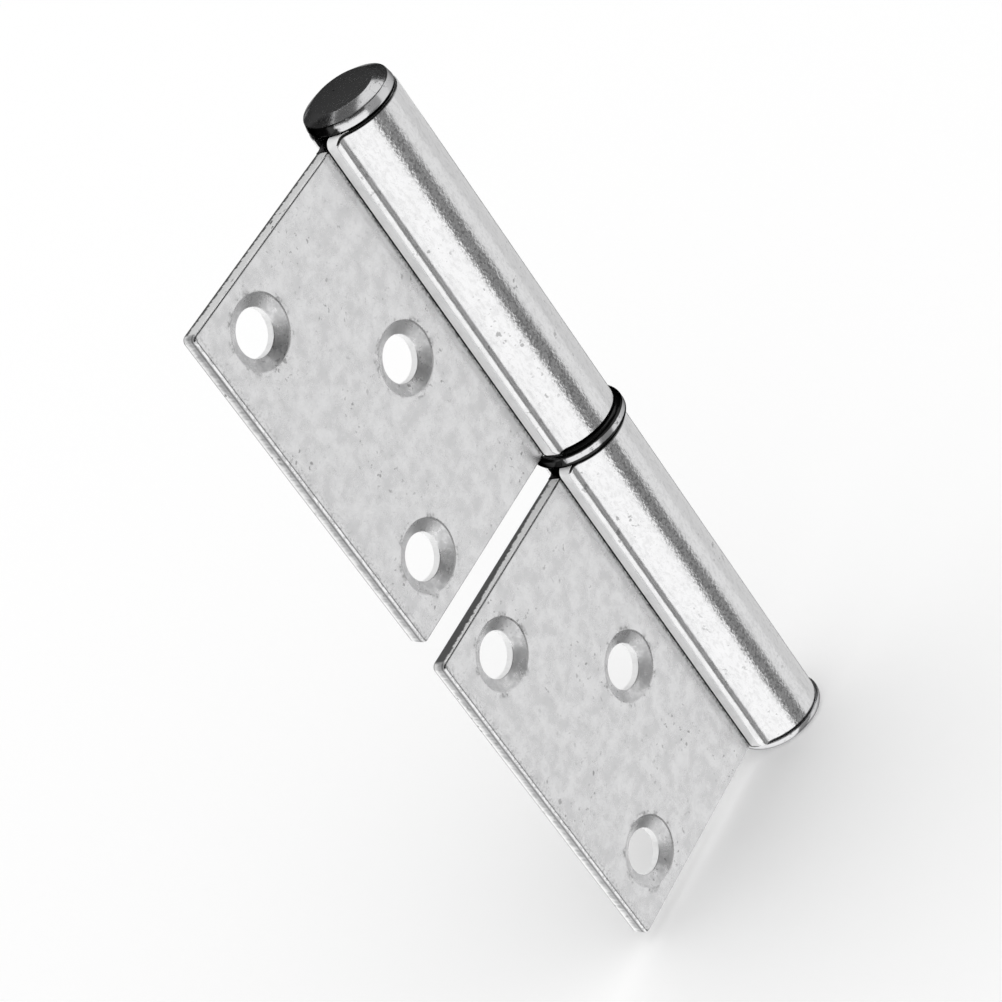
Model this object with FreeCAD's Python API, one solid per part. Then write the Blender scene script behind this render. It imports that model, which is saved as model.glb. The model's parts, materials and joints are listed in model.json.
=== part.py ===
import FreeCAD, Part
import math
import os

# A lift-off flag hinge of zinc-plated steel, about four inches tall and three inches wide when open.
# Each leaf is one sheet: a flat plate whose inner edge is rolled round the pin and comes back as a
# short lip on the plate's front face. The pin is fixed in the lower leaf, and the upper leaf drops on it.
# Modelled about the hinge axis, with the middle of the bearing ring at height zero, in millimetres.
# The plate lies towards -X, and its front face looks towards -Y.

# Sheet and pin
SHEET_THICKNESS = 2.0
PIN_DIAMETER = 8.0
RUNNING_CLEARANCE = 0.05
EDGE_ROUND = 0.3

# Rolled edge: outer radius of the bends at its neck, and the return lip on the plate
NECK_RADIUS = 1.0
SEAM_GAP = 0.15
LIP_FLAT = 0.1
LIP_CORNER_RADIUS = 1.1
ROLL_CHAMFER = 0.4

# Leaf outline: from the hinge axis to the outer edge, and along the axis
LEAF_REACH = 38.0
LEAF_HEIGHT = 49.0
LEAF_CORNER_RADIUS = 0.7

# The knuckle stands past the plate's ends, from a step that lies behind the lip
KNUCKLE_ABOVE_PLATE = 1.1
KNUCKLE_BELOW_PLATE = 0.6
KNUCKLE_STEP_REACH = 5.0

# Screw holes, countersunk from the front: two by the outer edge, and one by the lip
SCREW_HOLE_DIAMETER = 5.8
COUNTERSINK_DIAMETER = 9.2
COUNTERSINK_ANGLE = 120.0
OUTER_HOLE_EDGE_DISTANCE = 8.0
OUTER_HOLE_END_DISTANCE = 6.5
INNER_HOLE_LIP_DISTANCE = 8.5

# Bearing ring between the two knuckles
RING_OVERHANG = 0.7
RING_RIM_ROUND = 0.8
RING_RIM_FLAT = 0.6
RING_BORE_CHAMFER = 0.2

# Hinge pin: low rounded head, pressed shank and running spigot
PIN_HEAD_OVERHANG = 0.3
PIN_HEAD_RIM = 0.3
PIN_HEAD_ROUND = 0.9
SHOULDER_SETBACK = 0.6
SPIGOT_LEAD = 1.2
SPIGOT_LEAD_ANGLE = 30.0

# Top plug: button head with a slightly tapered rim and a wide bevel, and a pressed shank
PLUG_RIM_INSET = 0.1
PLUG_RIM_EASE = 0.3
PLUG_RIM_HEIGHT = 1.5
PLUG_RIM_TAPER = 0.25
PLUG_BEVEL_WIDTH = 1.55
PLUG_BEVEL_HEIGHT = 0.75
PLUG_SHANK_LENGTH = 14.0
PLUG_SHANK_CHAMFER = 0.6
PLUG_TO_SPIGOT_ROOM = 8.7

# Radii and heights that follow from the sizes above
BORE_RADIUS = PIN_DIAMETER / 2 + RUNNING_CLEARANCE
BARREL_RADIUS = BORE_RADIUS + SHEET_THICKNESS
RING_THICKNESS = 2 * RING_RIM_ROUND + RING_RIM_FLAT
KNUCKLE_LENGTH = KNUCKLE_BELOW_PLATE + LEAF_HEIGHT + KNUCKLE_ABOVE_PLATE
KNUCKLE_NEAR_END = RING_THICKNESS / 2
KNUCKLE_FAR_END = KNUCKLE_NEAR_END + KNUCKLE_LENGTH
OUTER_HOLE_REACH = LEAF_REACH - OUTER_HOLE_EDGE_DISTANCE
LOWER_PLATE_DEPTH = KNUCKLE_NEAR_END + KNUCKLE_ABOVE_PLATE + LEAF_HEIGHT / 2

# The part's own frame: on the lower leaf's back face, midway between its two outer screw holes
FRAME_SHIFT = FreeCAD.Vector(OUTER_HOLE_REACH, -SHEET_THICKNESS, LOWER_PLATE_DEPTH)

AXIS_POINT = FreeCAD.Vector(0, 0, 0)
AXIS = FreeCAD.Vector(0, 0, 1)
INTO_SHEET = FreeCAD.Vector(0, 1, 0)
SAME = 1e-6


def point(x, y, z=0.0):
    return FreeCAD.Vector(x, y, z)


def line(start, end):
    return Part.LineSegment(start, end).toShape()


def bend(centre, start, end):
    """The shorter arc from start to end about centre."""
    radius = start.distanceToPoint(centre)
    towards = (start - centre).normalize() + (end - centre).normalize()
    middle = centre + towards.normalize() * radius
    return Part.Arc(start, middle, end).toShape()


def round_the_pin(start, end):
    """The long way round the hinge axis from start to end, past the side away from the plate."""
    return Part.Arc(start, point(start.Length, 0), end).toShape()


def turned(outline):
    """Solid turned about the hinge axis from corners given as (radius, height)."""
    corners = [point(radius, 0, height) for radius, height in outline]
    section = Part.Face(Part.makePolygon(corners + corners[:1]))
    return section.revolve(AXIS_POINT, AXIS, 360)


def turned_edges(solid, radius, height):
    """The circular edges of a turned solid at one radius and height."""
    circles = [edge for edge in solid.Edges if isinstance(edge.Curve, Part.Circle)]
    circles = [edge for edge in circles if abs(edge.Curve.Radius - radius) < SAME]
    return [edge for edge in circles if abs(edge.Curve.Center.z - height) < SAME]


def neck_bend_centre(side, layer_face):
    """Centre of the bend between the barrel and a flat layer, whose outer face is layer_face off the axis."""
    rise = layer_face + NECK_RADIUS
    reach = math.sqrt((BARREL_RADIUS + NECK_RADIUS) ** 2 - rise ** 2)
    return point(-reach, side * rise)


PLATE_BEND = neck_bend_centre(1, SHEET_THICKNESS)
LIP_BEND = neck_bend_centre(-1, SEAM_GAP + SHEET_THICKNESS)
LIP_END = min(PLATE_BEND.x, LIP_BEND.x) - LIP_FLAT - ROLL_CHAMFER


def rolled_section():
    """Outline of the rolled edge: plate root, bend, barrel, bend and return lip, all one sheet thick."""
    to_bore = BORE_RADIUS / (BARREL_RADIUS + NECK_RADIUS)
    to_barrel = BARREL_RADIUS / (BARREL_RADIUS + NECK_RADIUS)
    lip_face = -SEAM_GAP - SHEET_THICKNESS

    # The inner side, from the plate's front face through the bore to the lip's inner face
    plate_front = point(LIP_END, 0)
    plate_front_bend = point(PLATE_BEND.x, 0)
    bore_start = PLATE_BEND * to_bore
    bore_end = LIP_BEND * to_bore
    lip_inner_bend = point(LIP_BEND.x, -SEAM_GAP)
    lip_inner = point(LIP_END, -SEAM_GAP)

    # The outer side, from the lip's outer face round the barrel to the plate's back face
    lip_outer = point(LIP_END, lip_face)
    lip_outer_bend = point(LIP_BEND.x, lip_face)
    barrel_start = LIP_BEND * to_barrel
    barrel_end = PLATE_BEND * to_barrel
    plate_back_bend = point(PLATE_BEND.x, SHEET_THICKNESS)
    plate_back = point(LIP_END, SHEET_THICKNESS)

    return Part.Wire([
        line(plate_front, plate_front_bend),
        bend(PLATE_BEND, plate_front_bend, bore_start),
        round_the_pin(bore_start, bore_end),
        bend(LIP_BEND, bore_end, lip_inner_bend),
        line(lip_inner_bend, lip_inner),
        line(lip_inner, lip_outer),
        line(lip_outer, lip_outer_bend),
        bend(LIP_BEND, lip_outer_bend, barrel_start),
        round_the_pin(barrel_start, barrel_end),
        bend(PLATE_BEND, barrel_end, plate_back_bend),
        line(plate_back_bend, plate_back),
        line(plate_back, plate_front),
    ])


def edges_at(solid, middles):
    """The edges of a solid whose middles lie at the given points."""
    return [edge for edge in solid.Edges
            if any(edge.CenterOfMass.distanceToPoint(middle) < SAME for middle in middles)]


def knuckle_step(base, height):
    """Cutter that sets one end of the plate's root back from the knuckle's end, behind the lip."""
    corner = point(-LEAF_REACH, -SEAM_GAP / 2, base)
    return Part.makeBox(LEAF_REACH - KNUCKLE_STEP_REACH, SEAM_GAP + BARREL_RADIUS, height, corner)


def rolled_edge():
    """The rolled edge of a leaf on height zero, with the lip's corners rounded and its outer rim eased."""
    solid = Part.Face(rolled_section()).extrude(AXIS * KNUCKLE_LENGTH)
    lip_middle = -SEAM_GAP - SHEET_THICKNESS / 2
    lip_ends = (point(LIP_END, lip_middle, 0), point(LIP_END, lip_middle, KNUCKLE_LENGTH))
    solid = solid.makeFillet(LIP_CORNER_RADIUS, edges_at(solid, lip_ends))

    # The rim runs on smoothly from the barrel's ends round the lip, so one easing takes all of it
    barrel_ends = turned_edges(solid, BARREL_RADIUS, 0) + turned_edges(solid, BARREL_RADIUS, KNUCKLE_LENGTH)
    solid = solid.makeChamfer(ROLL_CHAMFER, barrel_ends)
    return solid.cut([
        knuckle_step(0, KNUCKLE_BELOW_PLATE),
        knuckle_step(KNUCKLE_LENGTH - KNUCKLE_ABOVE_PLATE, KNUCKLE_ABOVE_PLATE),
    ])


def plate():
    """The flat of a leaf on height zero, with rounded corners and a rolled-over rim on its front face."""
    solid = Part.makeBox(LEAF_REACH + LIP_END, SHEET_THICKNESS, LEAF_HEIGHT, point(-LEAF_REACH, 0))
    outer_ends = (point(-LEAF_REACH, SHEET_THICKNESS / 2, 0),
                  point(-LEAF_REACH, SHEET_THICKNESS / 2, LEAF_HEIGHT))
    solid = solid.makeFillet(LEAF_CORNER_RADIUS, edges_at(solid, outer_ends))
    front_edges = [edge for edge in solid.Edges if edge.BoundBox.YMax < SAME]
    rim = [edge for edge in front_edges if edge.BoundBox.XMin < LIP_END - SAME]
    return solid.makeFillet(EDGE_ROUND, rim)


def screw_hole(reach, height):
    """Cutter for one countersunk hole, entering at the front face."""
    hole_radius = SCREW_HOLE_DIAMETER / 2
    sink_radius = COUNTERSINK_DIAMETER / 2
    sink_depth = (sink_radius - hole_radius) / math.tan(math.radians(COUNTERSINK_ANGLE / 2))
    mouth = point(-reach, 0, height)
    sink = Part.makeCone(sink_radius, hole_radius, sink_depth, mouth, INTO_SHEET)
    hole = Part.makeCylinder(hole_radius, SHEET_THICKNESS, mouth, INTO_SHEET)
    return sink.fuse(hole)


def leaf(base):
    """One whole leaf, a single sheet, with the lower end of its knuckle at height base."""
    flat = plate()
    flat.translate(AXIS * KNUCKLE_BELOW_PLATE)
    sheet = flat.fuse(rolled_edge()).removeSplitter()
    middle = KNUCKLE_BELOW_PLATE + LEAF_HEIGHT / 2
    half_spacing = LEAF_HEIGHT / 2 - OUTER_HOLE_END_DISTANCE
    holes = [
        screw_hole(OUTER_HOLE_REACH, middle - half_spacing),
        screw_hole(OUTER_HOLE_REACH, middle + half_spacing),
        screw_hole(INNER_HOLE_LIP_DISTANCE - LIP_END, middle),
    ]
    sheet = sheet.cut(holes)
    sheet.translate(AXIS * base)
    return sheet


def bearing_ring():
    """Round-rimmed ring that runs on the spigot and carries the upper knuckle."""
    rim_radius = BARREL_RADIUS + RING_OVERHANG
    faces = (-RING_THICKNESS / 2, RING_THICKNESS / 2)
    ring = turned([
        (BORE_RADIUS, faces[0]),
        (rim_radius, faces[0]),
        (rim_radius, faces[1]),
        (BORE_RADIUS, faces[1]),
    ])
    rims = [edge for face in faces for edge in turned_edges(ring, rim_radius, face)]
    ring = ring.makeFillet(RING_RIM_ROUND, rims)
    mouths = [edge for face in faces for edge in turned_edges(ring, BORE_RADIUS, face)]
    return ring.makeChamfer(RING_BORE_CHAMFER, mouths)


def hinge_pin():
    """Pin pressed into the lower knuckle from below, with its spigot standing up into the upper one."""
    head_radius = BARREL_RADIUS + PIN_HEAD_OVERHANG
    head_seat = -KNUCKLE_FAR_END
    head_base = head_seat - PIN_HEAD_RIM - PIN_HEAD_ROUND
    shoulder = -KNUCKLE_NEAR_END - SHOULDER_SETBACK
    spigot_radius = PIN_DIAMETER / 2
    tip = KNUCKLE_FAR_END - PLUG_SHANK_LENGTH - PLUG_TO_SPIGOT_ROOM
    tip_radius = spigot_radius - SPIGOT_LEAD * math.tan(math.radians(SPIGOT_LEAD_ANGLE))
    pin = turned([
        (0, head_base),
        (head_radius, head_base),
        (head_radius, head_seat),
        (BORE_RADIUS, head_seat),
        (BORE_RADIUS, shoulder),
        (spigot_radius, shoulder),
        (spigot_radius, tip - SPIGOT_LEAD),
        (tip_radius, tip),
        (0, tip),
    ])
    return pin.makeFillet(PIN_HEAD_ROUND, turned_edges(pin, head_radius, head_base))


def top_plug():
    """Button-headed plug pressed into the top of the upper knuckle."""
    rim_radius = BARREL_RADIUS - PLUG_RIM_INSET
    shoulder_radius = rim_radius - PLUG_RIM_TAPER
    seat = KNUCKLE_FAR_END
    rim_top = seat + PLUG_RIM_HEIGHT
    shank_end = seat - PLUG_SHANK_LENGTH
    return turned([
        (0, shank_end),
        (BORE_RADIUS - PLUG_SHANK_CHAMFER, shank_end),
        (BORE_RADIUS, shank_end + PLUG_SHANK_CHAMFER),
        (BORE_RADIUS, seat),
        (rim_radius - PLUG_RIM_EASE, seat),
        (rim_radius, seat + PLUG_RIM_EASE),
        (shoulder_radius, rim_top),
        (shoulder_radius - PLUG_BEVEL_WIDTH, rim_top + PLUG_BEVEL_HEIGHT),
        (0, rim_top + PLUG_BEVEL_HEIGHT),
    ])


PIECES = {
    "upper_leaf": leaf(KNUCKLE_NEAR_END),
    "lower_leaf": leaf(-KNUCKLE_FAR_END),
    "bearing_ring": bearing_ring(),
    "hinge_pin": hinge_pin(),
    "top_plug": top_plug(),
}

os.makedirs("parts", exist_ok=True)
for name, shape in PIECES.items():
    shape.translate(FRAME_SHIFT)
    shape.exportStep("parts/" + name + ".step")
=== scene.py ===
import bmesh
import bpy
import json
import math
import types
from mathutils import Matrix, Vector


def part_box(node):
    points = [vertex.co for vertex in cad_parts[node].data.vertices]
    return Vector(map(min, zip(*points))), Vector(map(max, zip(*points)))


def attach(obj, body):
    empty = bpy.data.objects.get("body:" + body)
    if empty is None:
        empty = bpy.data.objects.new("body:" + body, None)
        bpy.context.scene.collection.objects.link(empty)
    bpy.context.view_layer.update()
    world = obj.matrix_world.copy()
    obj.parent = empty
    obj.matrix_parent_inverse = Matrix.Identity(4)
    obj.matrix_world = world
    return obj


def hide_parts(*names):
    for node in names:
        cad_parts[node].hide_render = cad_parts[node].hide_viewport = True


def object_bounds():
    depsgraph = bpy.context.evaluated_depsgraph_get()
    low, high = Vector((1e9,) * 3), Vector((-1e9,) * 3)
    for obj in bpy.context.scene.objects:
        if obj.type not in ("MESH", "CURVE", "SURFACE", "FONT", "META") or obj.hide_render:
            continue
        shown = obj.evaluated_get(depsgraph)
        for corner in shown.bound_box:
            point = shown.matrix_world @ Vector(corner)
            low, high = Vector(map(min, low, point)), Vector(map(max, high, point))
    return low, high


bl_info = {
    "name": "Lift-off flag hinge",
    "version": (1, 0, 0),
    "blender": (4, 5, 0),
    "location": "View3D > Sidebar > Flag hinge",
    "description": "Builds a zinc-plated lift-off flag hinge and the small studio it stands in",
    "category": "Object",
}

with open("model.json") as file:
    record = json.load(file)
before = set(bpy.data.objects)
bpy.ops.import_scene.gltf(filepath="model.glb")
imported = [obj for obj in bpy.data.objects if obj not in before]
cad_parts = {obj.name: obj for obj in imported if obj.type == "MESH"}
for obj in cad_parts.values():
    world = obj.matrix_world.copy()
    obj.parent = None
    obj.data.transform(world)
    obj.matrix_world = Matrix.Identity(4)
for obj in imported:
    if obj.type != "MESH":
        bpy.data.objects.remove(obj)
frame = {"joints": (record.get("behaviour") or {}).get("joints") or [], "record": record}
CAD_BOX = [list(corner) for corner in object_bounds()]

# The meshes are worked in millimetres, which suit the operators' tolerances, and end in metres
MM = 0.001

# Facts read from the frame
MOUNTS = {mount["name"]: mount for mount in frame["record"]["mounts"]}
SWING = next(joint for joint in frame["joints"] if joint["name"] == "swing")
AXIS = Vector(SWING["pos_m"])
LEAF_LOW, LEAF_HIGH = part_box("lower_leaf")
UPPER_LOW, UPPER_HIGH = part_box("upper_leaf")
RING_LOW, RING_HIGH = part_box("bearing_ring")
PIN_LOW, PIN_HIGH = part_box("hinge_pin")
PLUG_LOW, PLUG_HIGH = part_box("top_plug")
SHEET = -AXIS.y
BARREL_RADIUS = LEAF_HIGH.x - AXIS.x
BORE_RADIUS = BARREL_RADIUS - SHEET
SCREWS = MOUNTS["lower_screws"]["dims"]
INNER_HOLE = Vector(MOUNTS["lower_inner_screw"]["pos_m"])
WALL = MOUNTS["lower_inner_screw"]["dims"]["length_mm"] * MM
OUTER_EDGE = LEAF_LOW.x - AXIS.x

UP = Vector((0, 0, 1))
ORIGIN = Vector((0, 0, 0))

# Steps of bent and turned forms
BARREL_STEPS = 128
NECK_STEPS = 16
LIP_STEPS = 6
HOLE_STEPS = 72
TURNED_STEPS = 128
CARD_STEPS = 36
CARD_RISE_STEPS = 12
FLOOR_STEPS = 96

# Segments across a rounded edge, from the widest to the smallest
WIDE_ROUND = 10
CORNER_ROUND = 6
RIM_ROUND = 4
BUTTON_ROUND = 3
SMALL_ROUND = 2

# Edges that turn by more than this are shaded as sharp
SHARP_ANGLE = math.radians(40)

# How closely mesh places agree, and the distance at which they are joined, in millimetres
TOLERANCE = 0.001
JOIN = 0.0001

# Straight piece of sheet between the plate and the neck's bend, in millimetres
ROOT_FLAT = 0.5

# Largest share of a face's normal across the sheet, for the lip's cut end, the walls of the holes, the
# plate's sides and the countersinks
LIP_FACING = 0.2
WALL_FACING = 0.3
SIDE_FACING = 0.5
SINK_FACING = 0.9

# Smallest such share for the plate's flat faces
FLAT_FACING = 0.99

# Material numbers on a leaf, after the plain sheet at 0
TORN, SHEARED, SUNK = 1, 2, 3

# Sockets of a colour mix node
MIX_FIRST, MIX_SECOND, MIX_RESULT = 6, 7, 2

# Half the height of the oil and painted shade at a barrel's end, where it starts to fade and where it has
# faded
OIL_AND_SHADE_EDGE = (0.24 * MM, 0.42 * MM)

# From the hinge axis towards the leaves' seams, where the turned pieces carry oil and a painted dark
# reflection
SEAM_DIRECTION = (math.cos(math.radians(165)), math.sin(math.radians(165)), 0.0)

# Band of the ring left free of oil and painted shade, below and above its middle, and the height of the oil
# and painted shade at the plug's foot
RING_UNDARKENED_BELOW = 0.2 * MM
RING_UNDARKENED_ABOVE = 0.35 * MM
PLUG_FOOT_OIL_AND_SHADE = 0.35 * MM

# Distance from the hinge axis at which the oil and painted dark reflection on the seams' side begin
RING_SEAM_SIDE = 5.6 * MM
PLUG_SEAM_SIDE = 4.8 * MM

# Colour of the turned pieces' reflections at grazing angles
TURNED_TINT = (0.2, 0.2, 0.2, 1.0)

# The studio: camera sensor in millimetres, the rest in metres
SENSOR = 36
CLIP_START = 0.01
CLIP_END = 10
FLOOR_RADIUS = 3.0
FLOOR_GAP = 0.2 * MM
CARD_DISTANCE = 1.2

# Name, from direction, to direction, from height, to height (degrees), brightness
CARDS = (
    ("left", 105, 250, -89, -22, 1.22),
    ("left_high", 150, 250, -22, 5, 1.22),
    ("streak", 250, 290, -60, -14, 0.27),
    ("streak_high", 250, 290, -14, 22, 0.42),
    ("streak_low", 250, 345, -85, -60, 0.2),
    ("right", 290, 326, -60, 2, 0.92),
    ("right_far", 326, 391, -60, 2, 0.76),
    ("right_high", 290, 335, 2, 22, 0.85),
    ("back_right", 31, 62, -45, -22, 0.2),
    ("back_right_high", 31, 60, -5, 5, 0.1),
    ("back_low", 100, 150, -22, 5, 0.04),
    ("sky_back", 25, 82, 5, 60, 0.075),
    ("sky_left", 82, 250, 5, 60, 0.03),
    ("sky_front", 250, 285, 22, 60, 0.04),
    ("sky_right", 285, 335, 22, 60, 0.05),
    ("sky_far_right", 335, 385, 2, 42, 0.05),
    ("zenith", 25, 340, 62, 89.9, 0.15),
)


def length(name, description, default):
    """A length property in metres."""
    return bpy.props.FloatProperty(name=name, description=description, default=default, unit="LENGTH",
                                   precision=5, min=0.0)


def colour(name, description, default):
    """A colour property, in linear values."""
    return bpy.props.FloatVectorProperty(name=name, description=description, default=default, size=3,
                                         subtype="COLOR", min=0.0, max=1.0)


class FlagHingeLeafSizes(bpy.types.PropertyGroup):
    """Sizes of the two leaves."""
    sheet: length("Sheet", "Thickness of the steel sheet", SHEET)
    barrel: length("Barrel radius", "Outer radius of the rolled barrel", BARREL_RADIUS)
    reach: length("Reach", "From the hinge axis to the leaf's outer edge", AXIS.x - LEAF_LOW.x)
    height: length("Plate height", "Height of the leaf's flat plate", 49 * MM)
    knuckle: length("Knuckle length", "Height of the rolled knuckle", LEAF_HIGH.z - LEAF_LOW.z)
    below: length("Knuckle below plate", "How far the knuckle stands past the plate's lower end", 0.6 * MM)
    neck: length("Neck radius", "Outer radius of the bends at the neck", 1.0 * MM)
    seam: length("Seam", "Gap between the return lip and the plate", 0.15 * MM)
    lip: length("Lip reach", "From the hinge axis to the lip's cut end", 6.88 * MM)
    lip_corner: length("Lip corner", "Radius of the lip's two corners", 1.1 * MM)
    lip_round: length("Lip rounding", "Rounding along the front of the lip's cut end", 0.8 * MM)
    roll_ease: length("Roll easing", "Rounding along the rolled edge's outer rim", 0.4 * MM)
    corner: length("Leaf corner", "Radius of the plate's outer corners", 0.7 * MM)
    rollover: length("Rollover", "Rounding that the shear leaves along the front edges", 0.38 * MM)
    burnish: length("Burnish depth", "Depth of the smooth band on a sheared edge", 0.9 * MM)
    fracture: length("Fracture lean", "How far the torn band of a sheared edge leans in", 0.09 * MM)
    hole: length("Hole radius", "Radius of the screw holes", SCREWS["hole_r_mm"] * MM)
    sink: length("Countersink radius", "Radius of the countersinks at the front face", 4.6 * MM)
    sink_depth: length("Countersink depth", "Depth of the countersinks", SHEET - WALL)
    hole_reach: length("Outer hole reach", "From the hinge axis to the outer holes", AXIS.x)
    hole_spacing: length("Hole spacing", "Between the two outer holes", SCREWS["spacing_y_mm"] * MM)
    inner_reach: length("Inner hole reach", "From the hinge axis to the inner hole", AXIS.x - INNER_HOLE.x)
    hole_ease: length("Hole easing", "Rounding at the holes' edges", 0.12 * MM)


class FlagHingeTurnedSizes(bpy.types.PropertyGroup):
    """Sizes of the ring, the pin and the plug."""
    ring_round: length("Ring round", "Rounding of the bearing ring's rim", 0.8 * MM)
    ring_chamfer: length("Ring chamfer", "Chamfer at the bearing ring's bore", 0.2 * MM)
    pin_head_round: length("Pin head round", "Rounding under the pin's head", 0.9 * MM)
    pin_setback: length("Shoulder setback", "From the knuckle's end down to the pin's shoulder", 0.6 * MM)
    pin_clearance: length("Running clearance", "Between the spigot and the bore", 0.05 * MM)
    pin_lead: length("Spigot lead", "Height of the cone at the spigot's tip", 1.2 * MM)
    pin_lead_inset: length("Spigot lead inset", "How far that cone draws in", 0.693 * MM)
    plug_ease: length("Plug rim easing", "Easing at the foot of the plug's rim", 0.3 * MM)
    plug_rim: length("Plug rim height", "Height of the plug's rim", 1.5 * MM)
    plug_taper: length("Plug rim taper", "How far the rim draws in towards its top", 0.25 * MM)
    plug_bevel: length("Plug bevel width", "Width of the bevel round the plug's face", 1.55 * MM)
    plug_chamfer: length("Plug shank chamfer", "Chamfer at the end of the plug's shank", 0.6 * MM)
    edge_ease: length("Edge easing", "Rounding of turned edges", 0.1 * MM)


class FlagHingeFinish(bpy.types.PropertyGroup):
    """Colours of the zinc plating."""
    sheet: colour("Sheet", "Plating on the rolled sheet", (0.78, 0.78, 0.785))
    bloom: colour("Bloom", "Duller patches in the plating", (0.68, 0.68, 0.685))
    speck: colour("Speck", "Specks and stains", (0.16, 0.16, 0.16))
    cut: colour("Cut edge", "Plating on cleanly sheared faces", (0.95, 0.95, 0.95))
    torn: colour("Torn edge", "Torn band of the sheared edges", (0.34, 0.34, 0.345))
    turned: colour("Turned", "Plating on the turned pieces", (0.66, 0.66, 0.67))
    soot: colour("Soot", "Dark film in the turned pieces' marks", (0.20, 0.20, 0.205))
    # Also painted as shade in the gaps at the joints, and as dark reflections on the turned pieces
    oil_and_shade: colour("Oil", "Old oil and dirt in the joints", (0.04, 0.04, 0.04))
    sink: colour("Countersink", "Duller patches in the countersinks", (0.64, 0.64, 0.645))


class FlagHingeStudio(bpy.types.PropertyGroup):
    """The studio and its camera."""
    camera_place: bpy.props.FloatVectorProperty(
        name="Camera place", description="Where the camera stands", size=3, subtype="TRANSLATION",
        default=(-0.209461, -0.280797, 0.236720))
    camera_heading: bpy.props.FloatProperty(
        name="Camera heading", description="Turn of the camera about the vertical", subtype="ANGLE",
        default=math.radians(-38.66))
    camera_tilt: bpy.props.FloatProperty(
        name="Camera tilt", description="How far the camera looks down", subtype="ANGLE",
        default=math.radians(30.035))
    camera_roll: bpy.props.FloatProperty(
        name="Camera roll", description="Turn of the camera about its own view", subtype="ANGLE",
        default=math.radians(-35.97))
    lens: bpy.props.FloatProperty(
        name="Lens", description="Focal length on a 36 mm sensor, in millimetres", default=124.18, min=1.0)
    floor: colour("Floor", "Colour of the floor", (1.0, 1.0, 1.0))
    light: bpy.props.FloatProperty(
        name="Light", description="Strength of the white surroundings", default=1.0)


def in_millimetres(group):
    """The lengths of a property group, in millimetres."""
    return types.SimpleNamespace(**{name: getattr(group, name) / MM for name in group.__annotations__})


def finished(name, bm, place, materials, body, node):
    """Makes a piece from a mesh in millimetres about the hinge axis, and sets it on its body."""
    bmesh.ops.recalc_face_normals(bm, faces=bm.faces)
    for face in bm.faces:
        face.smooth = True
    for edge in bm.edges:
        edge.smooth = edge.calc_face_angle(0.0) < SHARP_ANGLE
    bmesh.ops.scale(bm, vec=(MM, MM, MM), verts=bm.verts)
    bmesh.ops.translate(bm, vec=place, verts=bm.verts)
    mesh = bpy.data.meshes.new(name)
    bm.to_mesh(mesh)
    bm.free()
    for material in materials:
        mesh.materials.append(material)
    piece = bpy.data.objects.new(name, mesh)
    bpy.context.scene.collection.objects.link(piece)
    normals = piece.modifiers.new("Even normals", "WEIGHTED_NORMAL")
    normals.keep_sharp = True
    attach(piece, body)
    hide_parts(node)
    return piece


def edge_between(bm, start, end):
    """A new edge between two places."""
    return bm.edges.new((bm.verts.new(start), bm.verts.new(end)))


def swept(bm, edge, centre, angle, steps):
    """Sweeps an edge about an upright line, and returns the edge at its end."""
    made = bmesh.ops.spin(bm, geom=[edge, *edge.verts], cent=centre, axis=UP, angle=angle, steps=steps)
    return next(item for item in made["geom_last"] if isinstance(item, bmesh.types.BMEdge))


def pushed(bm, edge, offset):
    """Extrudes an edge by an offset, and returns the edge at its end."""
    made = bmesh.ops.extrude_edge_only(bm, edges=[edge])["geom"]
    verts = [item for item in made if isinstance(item, bmesh.types.BMVert)]
    bmesh.ops.translate(bm, vec=offset, verts=verts)
    return next(item for item in made if isinstance(item, bmesh.types.BMEdge)
                and all(vert in verts for vert in item.verts))


def raised(bm, faces, height):
    """Makes a solid from flat faces by raising them."""
    made = bmesh.ops.extrude_face_region(bm, geom=faces)["geom"]
    verts = [item for item in made if isinstance(item, bmesh.types.BMVert)]
    bmesh.ops.translate(bm, vec=UP * height, verts=verts)


def bevelled(bm, edges, offset, segments):
    """Rounds edges."""
    bmesh.ops.bevel(bm, geom=edges, offset=offset, offset_type="OFFSET", affect="EDGES", segments=segments,
                    profile=0.5, material=-1, clamp_overlap=True)


def neck_centre(s, side, layer_face):
    """Centre of the bend from the barrel to a flat layer, whose outer face is layer_face off the axis."""
    rise = layer_face + s.neck
    reach = math.sqrt((s.barrel + s.neck) ** 2 - rise ** 2)
    return Vector((-reach, side * rise, 0))


def neck_angle(centre):
    """How far the sheet turns in the bend about that centre."""
    return math.atan2(abs(centre.x), abs(centre.y))


def add_neck(bm, s):
    """The bend from the plate towards the barrel, and the outline that the barrel goes on from."""
    centre = neck_centre(s, 1, s.sheet)
    root = centre.x - ROOT_FLAT
    edge = edge_between(bm, (root, 0, s.below), (root, s.sheet, s.below))
    edge = pushed(bm, edge, (ROOT_FLAT, 0, 0))
    edge = swept(bm, edge, centre, neck_angle(centre), NECK_STEPS)
    ends = sorted((Vector((vert.co.x, vert.co.y, 0)) for vert in edge.verts), key=lambda end: end.length)
    raised(bm, bm.faces[:], s.height)
    return ends


def round_off(radius, inward):
    """How far a round corner falls back from its straight side, at a place that far in from its end."""
    return radius - math.sqrt(max(0.0, radius ** 2 - (radius - inward) ** 2))


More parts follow.
